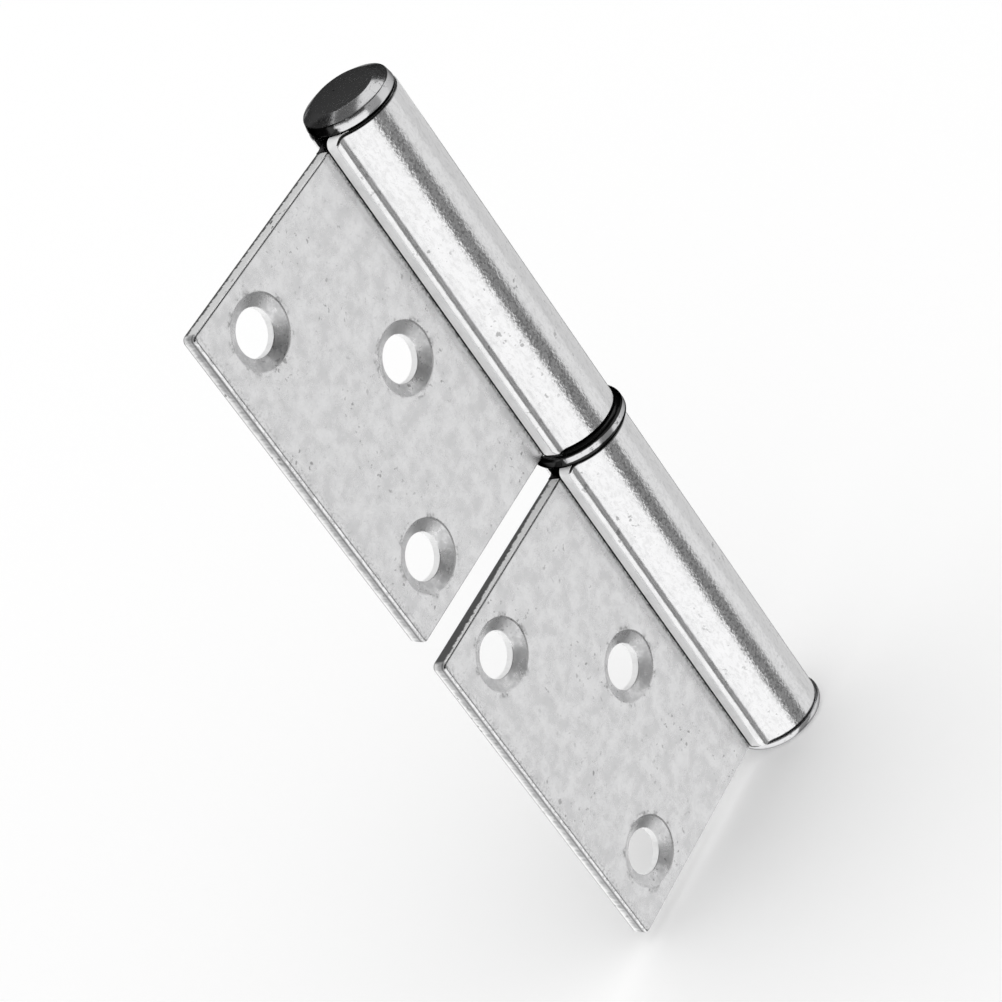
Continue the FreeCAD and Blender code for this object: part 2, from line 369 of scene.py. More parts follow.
def add_roll(bm, s, ends):
    """The barrel round the pin and the return lip, from the end of the neck."""
    before = set(bm.faces)
    outside = bm.verts.layers.int.new("outside")
    edge = edge_between(bm, *ends)
    edge.verts[1][outside] = 1
    plate_bend = neck_centre(s, 1, s.sheet)
    lip_bend = neck_centre(s, -1, s.seam + s.sheet)
    turn = neck_angle(plate_bend) + neck_angle(lip_bend) + math.pi
    edge = swept(bm, edge, ORIGIN, -turn, BARREL_STEPS)
    edge = swept(bm, edge, lip_bend, neck_angle(lip_bend), NECK_STEPS)

    # The lip is stepped closely towards its end, so that its corners can be round
    flat = lip_bend.x + s.lip
    widest = math.acos(1 - flat / s.lip_corner)
    angles = [widest * step / LIP_STEPS for step in range(LIP_STEPS, -1, -1)]
    steps = [s.lip_corner * (1 - math.cos(angle)) for angle in angles]
    for start, end in zip(steps, steps[1:]):
        edge = pushed(bm, edge, (end - start, 0, 0))
    raised(bm, [face for face in bm.faces if face not in before], s.knuckle)

    # The outer rim is eased at both ends, except where the roll leaves the neck
    roll = {vert for face in bm.faces if face not in before for vert in face.verts}
    start = ends[1].to_2d()
    rim = [edge for edge in bm.edges if all(vert in roll and vert[outside] for vert in edge.verts)
           and edge.verts[0].co.z == edge.verts[1].co.z
           and not all((vert.co.to_2d() - start).length < s.seam for vert in edge.verts)]
    bevelled(bm, rim, s.roll_ease, RIM_ROUND)

    # The lip's two corners are rounded off, and so is the front of its cut end
    new = [face for face in bm.faces if face not in before]
    for vert in {vert for face in new for vert in face.verts}:
        inward = vert.co.x + s.lip
        if vert.co.y < 0 and inward < s.lip_corner:
            drop = round_off(s.lip_corner, inward)
            vert.co.z += drop if vert.co.z < s.knuckle / 2 else -drop
            if vert[outside]:
                vert.co.y += round_off(s.lip_round, min(inward, s.lip_round))
    bmesh.ops.recalc_face_normals(bm, faces=new)
    for face in new:
        middle = face.calc_center_median()
        if abs(face.normal.y) < LIP_FACING and middle.y < 0 and middle.x < s.neck - s.barrel:
            face.material_index = SHEARED


def hole_profile(s):
    """Radius and depth along a countersunk hole, with its edges eased in shares of the easing."""
    ease = s.hole_ease
    slope = (s.sink - s.hole) / s.sink_depth
    return [
        (s.sink + ease, 0),
        (s.sink + 0.4 * ease, 0.05 * ease),
        (s.sink - 0.4 * ease, 0.6 * ease / slope),
        (s.sink - 1.4 * ease, 1.4 * ease / slope),
        (s.hole + 0.7 * ease, s.sink_depth - 0.7 * ease / slope),
        (s.hole + 0.15 * ease, s.sink_depth + 0.1 * ease),
        (s.hole, s.sink_depth + 0.7 * ease),
        (s.hole, s.sheet - 0.7 * ease),
        (s.hole + 0.7 * ease, s.sheet),
    ]


def add_hole(bm, s, x, z):
    """Wall of one countersunk hole, and its two round openings as lists of edges."""
    profile = hole_profile(s)
    verts = [bm.verts.new((x + radius, depth, z)) for radius, depth in profile]
    edges = [bm.edges.new(pair) for pair in zip(verts, verts[1:])]
    before = set(bm.faces)
    bmesh.ops.spin(bm, geom=verts + edges, cent=(x, 0, z), axis=(0, 1, 0), angle=math.tau,
                   steps=HOLE_STEPS, use_merge=True)
    for face in bm.faces:
        if face not in before and abs(face.normal.y) < WALL_FACING:
            face.material_index = SHEARED
        elif face not in before and abs(face.normal.y) < SINK_FACING:
            face.material_index = SUNK
    near = [edge for edge in bm.edges if len(edge.link_faces) == 1
            and all(math.hypot(vert.co.x - x, vert.co.z - z) < s.sink + s.sheet for vert in edge.verts)]
    front = [edge for edge in near if all(vert.co.y < s.sheet / 2 for vert in edge.verts)]
    back = [edge for edge in near if all(vert.co.y > s.sheet / 2 for vert in edge.verts)]
    return front, back


def add_plate(bm, s):
    """The flat plate with its sheared edges and its three screw holes."""
    before = set(bm.faces)
    old_verts = set(bm.verts)
    root = neck_centre(s, 1, s.sheet).x - ROOT_FLAT
    middle = s.below + s.height / 2
    size = Vector((s.reach + root, s.sheet, s.height))
    place = Vector(((root - s.reach) / 2, s.sheet / 2, middle))
    cube = bmesh.ops.create_cube(bm, size=1.0, matrix=Matrix.LocRotScale(place, None, size))["verts"]
    edges = {edge for vert in cube for edge in vert.link_edges}
    outer = [edge for edge in edges if all(vert.co.x < root - s.sheet for vert in edge.verts)]
    across = [edge for edge in outer if edge.verts[0].co.z == edge.verts[1].co.z]
    bevelled(bm, across, s.corner, CORNER_ROUND)

    # The shear draws the front edges over, all but the one at the neck
    rim = [edge for edge in bm.edges
           if all(vert not in old_verts and vert.co.y < s.rollover / 2 for vert in edge.verts)
           and any(vert.co.x < root - s.sheet for vert in edge.verts)]
    bevelled(bm, rim, s.rollover, RIM_ROUND)

    # A sheared edge is smooth at the front and torn behind, where it leans in
    faces = [face for face in bm.faces if face not in before]
    sides = [face for face in faces if abs(face.normal.y) < SIDE_FACING and face.normal.x < SIDE_FACING]
    for face in sides:
        face.material_index = TORN
    rims = {edge for face in sides for edge in face.edges}
    corners = {vert for face in sides for vert in face.verts}
    bmesh.ops.bisect_plane(bm, geom=[*sides, *rims, *corners], dist=TOLERANCE, plane_co=(0, s.burnish, 0),
                           plane_no=(0, 1, 0))
    back_rim = [vert for vert in bm.verts if vert not in old_verts and vert.co.y > s.sheet * 0.9]
    lean = (1 - s.fracture / size.x, 1, 1 - 2 * s.fracture / size.z)
    bmesh.ops.scale(bm, vec=lean, verts=back_rim, space=Matrix.Translation((-root, 0, -middle)))

    # The front and back faces are filled anew round the holes
    flats = [face for face in bm.faces if face not in before and abs(face.normal.y) > FLAT_FACING
             and face.calc_area() > size.x * size.z / 2]
    flats.sort(key=lambda face: face.calc_center_median().y)
    outlines = [list(face.edges) for face in flats]
    bmesh.ops.delete(bm, geom=flats, context="FACES_ONLY")
    for x, z in ((-s.hole_reach, middle - s.hole_spacing / 2), (-s.hole_reach, middle + s.hole_spacing / 2),
                 (-s.inner_reach, middle)):
        front, back = add_hole(bm, s, x, z)
        outlines[0] += front
        outlines[1] += back
    for outline in outlines:
        bmesh.ops.triangle_fill(bm, use_beauty=True, use_dissolve=False, edges=outline)


def leaf_mesh(s):
    """One whole leaf in millimetres, about the hinge axis, with its knuckle standing on height zero."""
    bm = bmesh.new()
    ends = add_neck(bm, s)
    add_roll(bm, s, ends)
    add_plate(bm, s)
    return bm


def turned_mesh(outline):
    """A solid turned about the hinge axis from (radius, height) corners.

    The outline starts and ends on the axis, or else it is closed to a ring.
    """
    bm = bmesh.new()
    verts = [bm.verts.new((radius, 0, height)) for radius, height in outline]
    edges = [bm.edges.new(pair) for pair in zip(verts, verts[1:])]
    if outline[0][0] > 0:
        edges.append(bm.edges.new((verts[-1], verts[0])))
    bmesh.ops.spin(bm, geom=verts + edges, cent=ORIGIN, axis=UP, angle=math.tau, steps=TURNED_STEPS,
                   use_merge=True)
    bmesh.ops.remove_doubles(bm, verts=bm.verts, dist=JOIN)
    return bm


def circle_edges(bm, radius, height):
    """The edges of a turned mesh on one circle."""
    return [edge for edge in bm.edges
            if all(math.isclose(vert.co.xy.length, radius, abs_tol=TOLERANCE)
                   and math.isclose(vert.co.z, height, abs_tol=TOLERANCE) for vert in edge.verts)]


def add_node(tree, kind, values=None, **settings):
    """Adds a node, with input values by name or number; a socket as a value is linked."""
    node = tree.nodes.new(kind)
    for name, value in settings.items():
        setattr(node, name, value)
    for key, value in (values or {}).items():
        if isinstance(value, bpy.types.NodeSocket):
            tree.links.new(value, node.inputs[key])
        else:
            node.inputs[key].default_value = value
    return node


def reckoned(tree, operation, *values):
    """A math node's result."""
    return add_node(tree, "ShaderNodeMath", dict(enumerate(values)), operation=operation).outputs[0]


def scaled(tree, value, scale, start):
    """A value times a scale, plus a start."""
    return reckoned(tree, "MULTIPLY_ADD", value, scale, start)


def product(tree, *values):
    """All of the values multiplied."""
    result = values[0]
    for value in values[1:]:
        result = reckoned(tree, "MULTIPLY", result, value)
    return result


def strongest(tree, *values):
    """The largest of the values."""
    result = values[0]
    for value in values[1:]:
        result = reckoned(tree, "MAXIMUM", result, value)
    return result


def ramp(tree, factor, low, high):
    """A mask that goes from 0 at low to 1 at high."""
    node = add_node(tree, "ShaderNodeMapRange", {"Value": factor, "From Min": low, "From Max": high},
                    interpolation_type="SMOOTHSTEP")
    return node.outputs["Result"]


def within(tree, value, centre, inner, outer):
    """A mask that is 1 closer than inner to a centre, and 0 farther than outer."""
    away = reckoned(tree, "ABSOLUTE", reckoned(tree, "SUBTRACT", value, centre))
    return ramp(tree, away, outer, inner)


def coordinates(tree, place):
    """The three coordinates of a place."""
    return add_node(tree, "ShaderNodeSeparateXYZ", {0: place}).outputs[:3]


def measured(tree, operation, first, second):
    """A number from two vectors, such as their distance."""
    node = add_node(tree, "ShaderNodeVectorMath", {0: first, 1: second}, operation=operation)
    return node.outputs["Value"]


def noise(tree, place, scale, detail, roughness=0.5):
    """A noise that changes from place to place."""
    values = {"Vector": place, "Scale": scale, "Detail": detail, "Roughness": roughness}
    return add_node(tree, "ShaderNodeTexNoise", values).outputs["Fac"]


def mixed(tree, factor, first, second):
    """A colour between two."""
    node = add_node(tree, "ShaderNodeMix", {"Factor": factor}, data_type="RGBA")
    for socket, value in ((node.inputs[MIX_FIRST], first), (node.inputs[MIX_SECOND], second)):
        if isinstance(value, bpy.types.NodeSocket):
            tree.links.new(value, socket)
        else:
            socket.default_value = (*value, 1.0)
    return node.outputs[MIX_RESULT]


def bumped(tree, shader, height, strength, distance):
    """Gives a shader its relief."""
    bump = add_node(tree, "ShaderNodeBump", {"Height": height, "Strength": strength, "Distance": distance})
    tree.links.new(bump.outputs["Normal"], shader.inputs["Normal"])


def new_group(name, inputs, outputs):
    """A shader node group with number or vector inputs and outputs, given as (name, type, default)."""
    tree = bpy.data.node_groups.new(name, "ShaderNodeTree")
    for title, kind, default in inputs:
        socket = tree.interface.new_socket(name=title, in_out="INPUT", socket_type=kind)
        if default is not None:
            socket.default_value = default
    for title, kind in outputs:
        tree.interface.new_socket(name=title, in_out="OUTPUT", socket_type=kind)
    return tree, tree.nodes.new("NodeGroupInput").outputs, tree.nodes.new("NodeGroupOutput").inputs


def zinc_bloom_group(name):
    """Cloudy patches, specks, grain and hairline marks of zinc plating."""
    tree, given, result = new_group(
        name,
        [("Place", "NodeSocketVector", None), ("Cloud scale", "NodeSocketFloat", 300.0),
         ("Speck scale", "NodeSocketFloat", 1100.0)],
        [("Cloud", "NodeSocketFloat"), ("Speck", "NodeSocketFloat"), ("Grain", "NodeSocketFloat"),
         ("Hairline", "NodeSocketFloat")])
    place = given["Place"]
    clouds = noise(tree, place, given["Cloud scale"], 5.0, 0.64)
    tree.links.new(ramp(tree, clouds, 0.33, 0.67), result["Cloud"])

    # Specks come in patches
    dots = ramp(tree, noise(tree, place, given["Speck scale"], 2.0), 0.62, 0.70)
    patches = ramp(tree, noise(tree, place, 130.0, 3.0), 0.45, 0.64)
    tree.links.new(product(tree, dots, patches), result["Speck"])

    # Hairlines are the level lines of a noise, broken up by the grain
    grain = noise(tree, place, 2600.0, 3.0)
    tree.links.new(grain, result["Grain"])
    lines = within(tree, noise(tree, place, 420.0, 4.0), 0.5, 0.002, 0.010)
    tree.links.new(product(tree, lines, ramp(tree, grain, 0.45, 0.6)), result["Hairline"])
    return tree


def drawn_streaks_group(name):
    """Streaks drawn out along one direction, by squeezing the place along it."""
    tree, given, result = new_group(
        name,
        [("Place", "NodeSocketVector", None), ("Squeeze", "NodeSocketVector", (1.0, 1.0, 0.04)),
         ("Scale", "NodeSocketFloat", 1200.0)],
        [("Streak", "NodeSocketFloat")])
    squeezed = add_node(tree, "ShaderNodeVectorMath", {0: given["Place"], 1: given["Squeeze"]},
                        operation="MULTIPLY")
    tree.links.new(noise(tree, squeezed.outputs[0], given["Scale"], 4.0, 0.6), result["Streak"])
    return tree


def turning_marks_group(name):
    """Fine rings that a lathe leaves, by distance from the hinge axis and by height."""
    tree, given, result = new_group(
        name,
        [("Place", "NodeSocketVector", None), ("Scale", "NodeSocketFloat", 2500.0)],
        [("Ring", "NodeSocketFloat")])
    x, y, z = coordinates(tree, given["Place"])
    square = reckoned(tree, "ADD", product(tree, x, x), product(tree, y, y))
    rings = add_node(tree, "ShaderNodeCombineXYZ", {0: reckoned(tree, "POWER", square, 0.5), 1: z})
    tree.links.new(noise(tree, rings.outputs[0], given["Scale"], 2.0), result["Ring"])
    return tree


NODE_GROUPS = {
    "Zinc bloom": zinc_bloom_group,
    "Drawn streaks": drawn_streaks_group,
    "Turning marks": turning_marks_group,
}


def placed(tree, name, values):
    """One use of a shared node group, which is built at its first use."""
    group = bpy.data.node_groups.get(name) or NODE_GROUPS[name](name)
    return add_node(tree, "ShaderNodeGroup", values, node_tree=group).outputs


def new_material(name, metallic):
    """An empty metal material, with its tree, its shader and the place about the hinge axis."""
    material = bpy.data.materials.new(name)
    material.use_nodes = True
    tree = material.node_tree
    shader = tree.nodes["Principled BSDF"]
    shader.inputs["Metallic"].default_value = metallic
    place = add_node(tree, "ShaderNodeTexCoord").outputs["Object"]
    centred = add_node(tree, "ShaderNodeMapping", {"Vector": place, "Location": (-AXIS.x, -AXIS.y, 0.0)})
    return material, tree, shader, centred.outputs["Vector"]


def hole_centres():
    """Centres of all six screw holes at the leaves' front faces, about the hinge axis."""
    half = SCREWS["spacing_y_mm"] * MM / 2
    centres = []
    for leaf in ("lower", "upper"):
        x, _, z = MOUNTS[leaf + "_screws"]["pos_m"]
        inner_x, _, inner_z = MOUNTS[leaf + "_inner_screw"]["pos_m"]
        centres += [(x - AXIS.x, 0.0, z - half), (x - AXIS.x, 0.0, z + half)]
        centres.append((inner_x - AXIS.x, 0.0, inner_z))
    return centres


def sheet_zinc(finish, sink):
    """Bright zinc on rolled sheet: cloudy on the flat, grainy on the barrel, dark where dirt gathers, with
    painted shade beside the lip, oil and painted shade at the barrels' ends, and a painted dark reflection
    streaked down the barrel's front.
    """
    material, tree, shader, place = new_material("sheet_zinc", 1.0)
    cloud = placed(tree, "Zinc bloom", {"Place": place, "Cloud scale": 430.0, "Speck scale": 1200.0})
    drawn = placed(tree, "Drawn streaks", {"Place": place, "Squeeze": (1.0, 1.0, 0.5), "Scale": 2300.0})
    x, y, z = coordinates(tree, place)
    grain = ramp(tree, cloud["Grain"], 0.4, 0.6)

    # Regions: the barrel with its lip, the barrel's front where a dark reflection is painted, the bend at
    # the lip, the plate's outer edge
    barrel = ramp(tree, x, -7.2 * MM, -6.2 * MM)
    front = product(tree, within(tree, x, -2.2 * MM, 0.5 * MM, 1.6 * MM), ramp(tree, y, -3 * MM, -4 * MM))
    bend = product(tree, within(tree, x, -5.8 * MM, 0.3 * MM, 0.8 * MM),
                   ramp(tree, y, -1.9 * MM, -2.2 * MM))
    outer = ramp(tree, x, -36.2 * MM, OUTER_EDGE)

    # Marks, each with its strength
    spots = product(tree, cloud["Speck"], 0.6)
    hairs = product(tree, cloud["Hairline"], 0.16)
    grime = product(tree, outer, ramp(tree, cloud["Grain"], 0.5, 0.6), 0.4)
    # Painted shade on the plate along the lip's seam, broken up by the grain
    seam_shade = product(tree, within(tree, x, -6.95 * MM, 0.15 * MM, 0.65 * MM),
                         ramp(tree, y, -0.12 * MM, -0.05 * MM), scaled(tree, grain, 0.55, 0.35))
    mottle = product(tree, ramp(tree, drawn["Streak"], 0.45, 0.65), barrel, 0.13)
    # Painted dark reflection: a grainy dark streak down the barrel's front
    painted_streak = product(tree, ramp(tree, cloud["Grain"], 0.46, 0.62), front, 0.5)
    rims = [within(tree, measured(tree, "DISTANCE", place, centre), sink + 0.2 * MM, 0.1 * MM, 0.5 * MM)
            for centre in hole_centres()]
    scuffs = product(tree, strongest(tree, *rims), ramp(tree, y, 0.3 * MM, 0.1 * MM),
                     ramp(tree, cloud["Cloud"], 0.55, 0.85), scaled(tree, grain, 0.45, 0.15))
    marks = strongest(tree, spots, hairs, grime, seam_shade, mottle, painted_streak, scuffs)

    # Oil and painted shade of the gaps at the barrels' ends: fainter at the pin's head, and under the plug
    # on the leaf's side only
    at_ring = [within(tree, z, end, *OIL_AND_SHADE_EDGE) for end in (LEAF_HIGH.z, UPPER_LOW.z)]
    at_head = product(tree, within(tree, z, LEAF_LOW.z, 0.14 * MM, 0.28 * MM), 0.5)
    at_plug = product(tree, within(tree, z, UPPER_HIGH.z, *OIL_AND_SHADE_EDGE), ramp(tree, x, 3 * MM, 0.0))
    oil_and_shade = product(tree, strongest(tree, *at_ring, at_head, at_plug), barrel, 0.9)

    clouded = product(tree, cloud["Cloud"], scaled(tree, barrel, -0.75, 0.95))
    base = mixed(tree, clouded, finish.sheet, finish.bloom)
    base = mixed(tree, marks, base, finish.speck)
    base = mixed(tree, oil_and_shade, base, finish.oil_and_shade)
    tree.links.new(base, shader.inputs["Base Color"])

    dull = scaled(tree, cloud["Cloud"], 0.08, scaled(tree, barrel, -0.08, 0.22))
    tree.links.new(scaled(tree, bend, 0.12, dull), shader.inputs["Roughness"])
    coarse = scaled(tree, front, 5.0, scaled(tree, barrel, 2.4, 0.4))
    relief = scaled(tree, cloud["Grain"], coarse, product(tree, drawn["Streak"], barrel, 2.5))
    bumped(tree, shader, relief, strength=0.35, distance=0.02 * MM)
    return material


def torn_zinc(finish):
    """Zinc on the plate's sheared edges: torn and grey outside, pale at the ends, darker at the back."""
    material, tree, shader, place = new_material("torn_zinc", 0.3)
    cloud = placed(tree, "Zinc bloom", {"Place": place, "Cloud scale": 600.0, "Speck scale": 1400.0})
    torn = placed(tree, "Drawn streaks", {"Place": place, "Squeeze": (1.0, 0.15, 1.0), "Scale": 2600.0})
    x, depth, height = coordinates(tree, place)
    ragged = scaled(tree, torn["Streak"], 1.2 * MM, depth)
    outer = ramp(tree, x, -37.0 * MM, -37.5 * MM)
    ends = reckoned(tree, "SUBTRACT", 1.0, outer)
    pale = strongest(tree, product(tree, ramp(tree, ragged, 1.5 * MM, 2.4 * MM), outer),
                     product(tree, ends, 0.95))

    # Thin lines along the outer edge, where the tear starts and at the back
    start_line = product(tree, ramp(tree, depth, 0.30 * MM, 0.42 * MM),
                         ramp(tree, depth, 0.72 * MM, 0.5 * MM), outer, 0.85)
    back_line = product(tree, ramp(tree, depth, 1.78 * MM, 1.9 * MM), outer, 0.6)

    # Darker at the back of the ends, a band which widens towards the lower leaf's outer corners
    wedge = product(tree, ramp(tree, x, -4 * MM, OUTER_EDGE), ramp(tree, height, AXIS.z, AXIS.z - SHEET))
    dark_back = product(tree, ramp(tree, scaled(tree, wedge, 1.0 * MM, ragged), 1.95 * MM, 2.25 * MM), ends, 0.9)

    band = product(tree, ramp(tree, torn["Streak"], 0.35, 0.65), 0.5)
    base = mixed(tree, band, finish.torn, finish.bloom)
    base = mixed(tree, pale, base, finish.cut)
    base = mixed(tree, strongest(tree, start_line, back_line), base, finish.speck)
    base = mixed(tree, dark_back, base, finish.oil_and_shade)
    base = mixed(tree, cloud["Speck"], base, finish.speck)
    tree.links.new(base, shader.inputs["Base Color"])
    tree.links.new(scaled(tree, torn["Streak"], 0.2, 0.25), shader.inputs["Roughness"])
    bumped(tree, shader, torn["Streak"], strength=0.35, distance=0.03 * MM)
    return material


def sheared_zinc(finish):
    """Pale, nearly matt zinc on cleanly sheared faces: the lip's cut end and the walls of the holes."""
    material, tree, shader, place = new_material("sheared_zinc", 0.1)
    fine = placed(tree, "Drawn streaks", {"Place": place, "Squeeze": (1.0, 0.2, 0.2), "Scale": 2400.0})
    streaked = product(tree, ramp(tree, fine["Streak"], 0.45, 0.75), 0.3)
    tree.links.new(mixed(tree, streaked, finish.cut, finish.bloom), shader.inputs["Base Color"])
    tree.links.new(scaled(tree, fine["Streak"], 0.15, 0.32), shader.inputs["Roughness"])
    bumped(tree, shader, fine["Streak"], strength=0.15, distance=0.02 * MM)
    return material


def sunk_zinc(finish):
    """Zinc in the countersinks, duller and mottled, with the cutter's grain."""
    material, tree, shader, place = new_material("sunk_zinc", 1.0)
    cloud = placed(tree, "Zinc bloom", {"Place": place, "Cloud scale": 1100.0, "Speck scale": 1700.0})
    base = mixed(tree, cloud["Cloud"], finish.sheet, finish.sink)
    base = mixed(tree, product(tree, cloud["Speck"], 0.7), base, finish.speck)
    tree.links.new(base, shader.inputs["Base Color"])
    tree.links.new(scaled(tree, cloud["Cloud"], 0.12, 0.26), shader.inputs["Roughness"])
    bumped(tree, shader, cloud["Grain"], strength=0.5, distance=0.03 * MM)
    return material


def turned_zinc(name, finish, undarkened=None, darkened_to=None, seam_side=None):
    """Bright zinc on a turned piece, with lathe rings and specks.

    Where an undarkened band of heights is given, oil and painted darkness lie outside it: painted shade in
    the gaps next to other parts, and painted dark reflection on faces that turn upwards. The same oil and
    painted dark reflection also lie up to the darkened_to height on what is farther than seam_side from the
    hinge axis, towards the leaves' seams.
    """
    material, tree, shader, place = new_material(name, 1.0)
    cloud = placed(tree, "Zinc bloom", {"Place": place, "Cloud scale": 700.0, "Speck scale": 1500.0})
    rings = placed(tree, "Turning marks", {"Place": place, "Scale": 3200.0})
    base = mixed(tree, product(tree, cloud["Cloud"], 0.7), finish.turned, finish.bloom)
    marks = strongest(tree, product(tree, cloud["Hairline"], 0.5), cloud["Speck"])
    base = mixed(tree, marks, base, finish.soot)
    if undarkened is not None:
        half = (undarkened[1] - undarkened[0]) / 2
        uneven = scaled(tree, cloud["Grain"], 0.12 * MM, coordinates(tree, place)[2])
        band = within(tree, uneven, undarkened[0] + half + 0.06 * MM, half, half + 0.14 * MM)
        reach = scaled(tree, cloud["Grain"], 0.5 * MM, measured(tree, "DOT_PRODUCT", place, SEAM_DIRECTION))
        clear = strongest(tree, ramp(tree, reach, seam_side + 0.4 * MM, seam_side + 0.15 * MM),
                          ramp(tree, uneven, darkened_to, darkened_to + 0.1 * MM))
        base = mixed(tree, product(tree, band, clear), finish.oil_and_shade, base)
    tree.links.new(base, shader.inputs["Base Color"])
    shader.inputs["Specular Tint"].default_value = TURNED_TINT
    dull = scaled(tree, rings["Ring"], 0.14, 0.10)
    tree.links.new(scaled(tree, cloud["Hairline"], 0.5, dull), shader.inputs["Roughness"])
    relief = scaled(tree, cloud["Grain"], 0.5, rings["Ring"])
    bumped(tree, shader, relief, strength=0.2, distance=0.02 * MM)
    return material


class FLAGHINGE_OT_leaves(bpy.types.Operator):
    """Build the two rolled sheet leaves"""
    bl_idname = "flaghinge.leaves"
    bl_label = "Leaves"

    def execute(self, context):
        sizes = context.scene.flaghinge_leaf
        finish = context.scene.flaghinge_finish
        materials = [sheet_zinc(finish, sizes.sink), torn_zinc(finish), sheared_zinc(finish),
                     sunk_zinc(finish)]
        for node, body, base in (("lower_leaf", "frame_half", LEAF_LOW.z),
                                 ("upper_leaf", "door_half", UPPER_LOW.z)):
            bm = leaf_mesh(in_millimetres(sizes))
            place = Vector((AXIS.x, AXIS.y, base))
            piece = finished(node + "_sheet", bm, place, materials, body, node)
        return {"FINISHED"}


class FLAGHINGE_OT_bearing_ring(bpy.types.Operator):
    """Build the round-rimmed ring between the knuckles"""
    bl_idname = "flaghinge.bearing_ring"
    bl_label = "Bearing ring"

    def execute(self, context):
        s = in_millimetres(context.scene.flaghinge_turned)
        finish = context.scene.flaghinge_finish
        rim = (RING_HIGH.x - AXIS.x) / MM
        half = (RING_HIGH.z - RING_LOW.z) / 2 / MM
        bore = BORE_RADIUS / MM
        bm = turned_mesh([(bore, -half), (rim, -half), (rim, half), (bore, half)])
        bevelled(bm, circle_edges(bm, rim, -half) + circle_edges(bm, rim, half), s.ring_round,
                 WIDE_ROUND)
        bevelled(bm, circle_edges(bm, bore, -half) + circle_edges(bm, bore, half), s.ring_chamfer,
                 SMALL_ROUND)
        # Outside this band the ring takes oil and painted darkness: painted dark reflection on its upper
        # round and painted shade of the gap below
        undarkened = (AXIS.z - RING_UNDARKENED_BELOW, AXIS.z + RING_UNDARKENED_ABOVE)
        material = turned_zinc("ring_zinc", finish, undarkened, RING_HIGH.z, RING_SEAM_SIDE)
        piece = finished("bearing_ring_turned", bm, AXIS, [material], "ring", "bearing_ring")
        return {"FINISHED"}


class FLAGHINGE_OT_hinge_pin(bpy.types.Operator):
    """Build the pin with its low rounded head"""
    bl_idname = "flaghinge.hinge_pin"
    bl_label = "Hinge pin"

    def execute(self, context):
        s = in_millimetres(context.scene.flaghinge_turned)
        finish = context.scene.flaghinge_finish
        head = (PIN_HIGH.x - AXIS.x) / MM
        base = (PIN_LOW.z - AXIS.z) / MM
        tip = (PIN_HIGH.z - AXIS.z) / MM
        seat = (LEAF_LOW.z - AXIS.z) / MM
        shoulder = (LEAF_HIGH.z - AXIS.z) / MM - s.pin_setback
        bore = BORE_RADIUS / MM
        spigot = bore - s.pin_clearance
        bm = turned_mesh([
            (0, base), (head, base), (head, seat), (bore, seat), (bore, shoulder), (spigot, shoulder),
            (spigot, tip - s.pin_lead), (spigot - s.pin_lead_inset, tip), (0, tip)])
        bevelled(bm, circle_edges(bm, head, base), s.pin_head_round, WIDE_ROUND)
        bevelled(bm, circle_edges(bm, head, seat), s.edge_ease, SMALL_ROUND)
        bevelled(bm, circle_edges(bm, spigot - s.pin_lead_inset, tip), s.edge_ease, SMALL_ROUND)
        material = turned_zinc("pin_zinc", finish)
        piece = finished("hinge_pin_turned", bm, AXIS, [material], "frame_half", "hinge_pin")
        return {"FINISHED"}


class FLAGHINGE_OT_top_plug(bpy.types.Operator):
    """Build the button-headed plug at the top"""
    bl_idname = "flaghinge.top_plug"
    bl_label = "Top plug"

    def execute(self, context):
        s = in_millimetres(context.scene.flaghinge_turned)
        finish = context.scene.flaghinge_finish
        rim = (PLUG_HIGH.x - AXIS.x) / MM
        shoulder = rim - s.plug_taper
        foot = (PLUG_LOW.z - AXIS.z) / MM
        top = (PLUG_HIGH.z - AXIS.z) / MM
        seat = (UPPER_HIGH.z - AXIS.z) / MM
        bore = BORE_RADIUS / MM
        face = shoulder - s.plug_bevel
        bm = turned_mesh([
            (0, foot), (bore - s.plug_chamfer, foot), (bore, foot + s.plug_chamfer), (bore, seat),
            (rim - s.plug_ease, seat), (rim, seat + s.plug_ease), (shoulder, seat + s.plug_rim),
            (face, top), (0, top)])
        bevelled(bm, circle_edges(bm, rim, seat + s.plug_ease), 2 * s.edge_ease, BUTTON_ROUND)
        bevelled(bm, circle_edges(bm, shoulder, seat + s.plug_rim), s.edge_ease, BUTTON_ROUND)
        bevelled(bm, circle_edges(bm, face, top), s.edge_ease, BUTTON_ROUND)

        # The plug is left undarkened from above its foot to past its top; below that lies oil with the
        # painted shade of the gap under its rim, and on the seams' side its rim takes a painted dark
        # reflection
        undarkened = (UPPER_HIGH.z + PLUG_FOOT_OIL_AND_SHADE, PLUG_HIGH.z + SHEET)
        material = turned_zinc("plug_zinc", finish, undarkened, UPPER_HIGH.z + s.plug_rim * MM, PLUG_SEAM_SIDE)
        piece = finished("top_plug_turned", bm, AXIS, [material], "door_half", "top_plug")
        return {"FINISHED"}


def plain_material(name, tint, strength=None):
    """A matt material, or a glowing one where a strength is given."""
    material = bpy.data.materials.new(name)
    material.use_nodes = True
    tree = material.node_tree
    tree.nodes.clear()
    output = tree.nodes.new("ShaderNodeOutputMaterial")
    if strength is None:
        shader = add_node(tree, "ShaderNodeBsdfDiffuse", {"Color": (*tint, 1.0)})
    else:
        shader = add_node(tree, "ShaderNodeEmission", {"Color": (*tint, 1.0), "Strength": strength})
        material.cycles.emission_sampling = "NONE"
    tree.links.new(shader.outputs[0], output.inputs["Surface"])
    return material


def stage_piece(name, bm, material):
    """An object of the studio, which isn't part of the hinge."""
    mesh = bpy.data.meshes.new(name)
    bm.to_mesh(mesh)
    bm.free()
    mesh.materials.append(material)
    piece = bpy.data.objects.new(name, mesh)
    bpy.context.scene.collection.objects.link(piece)
    return piece


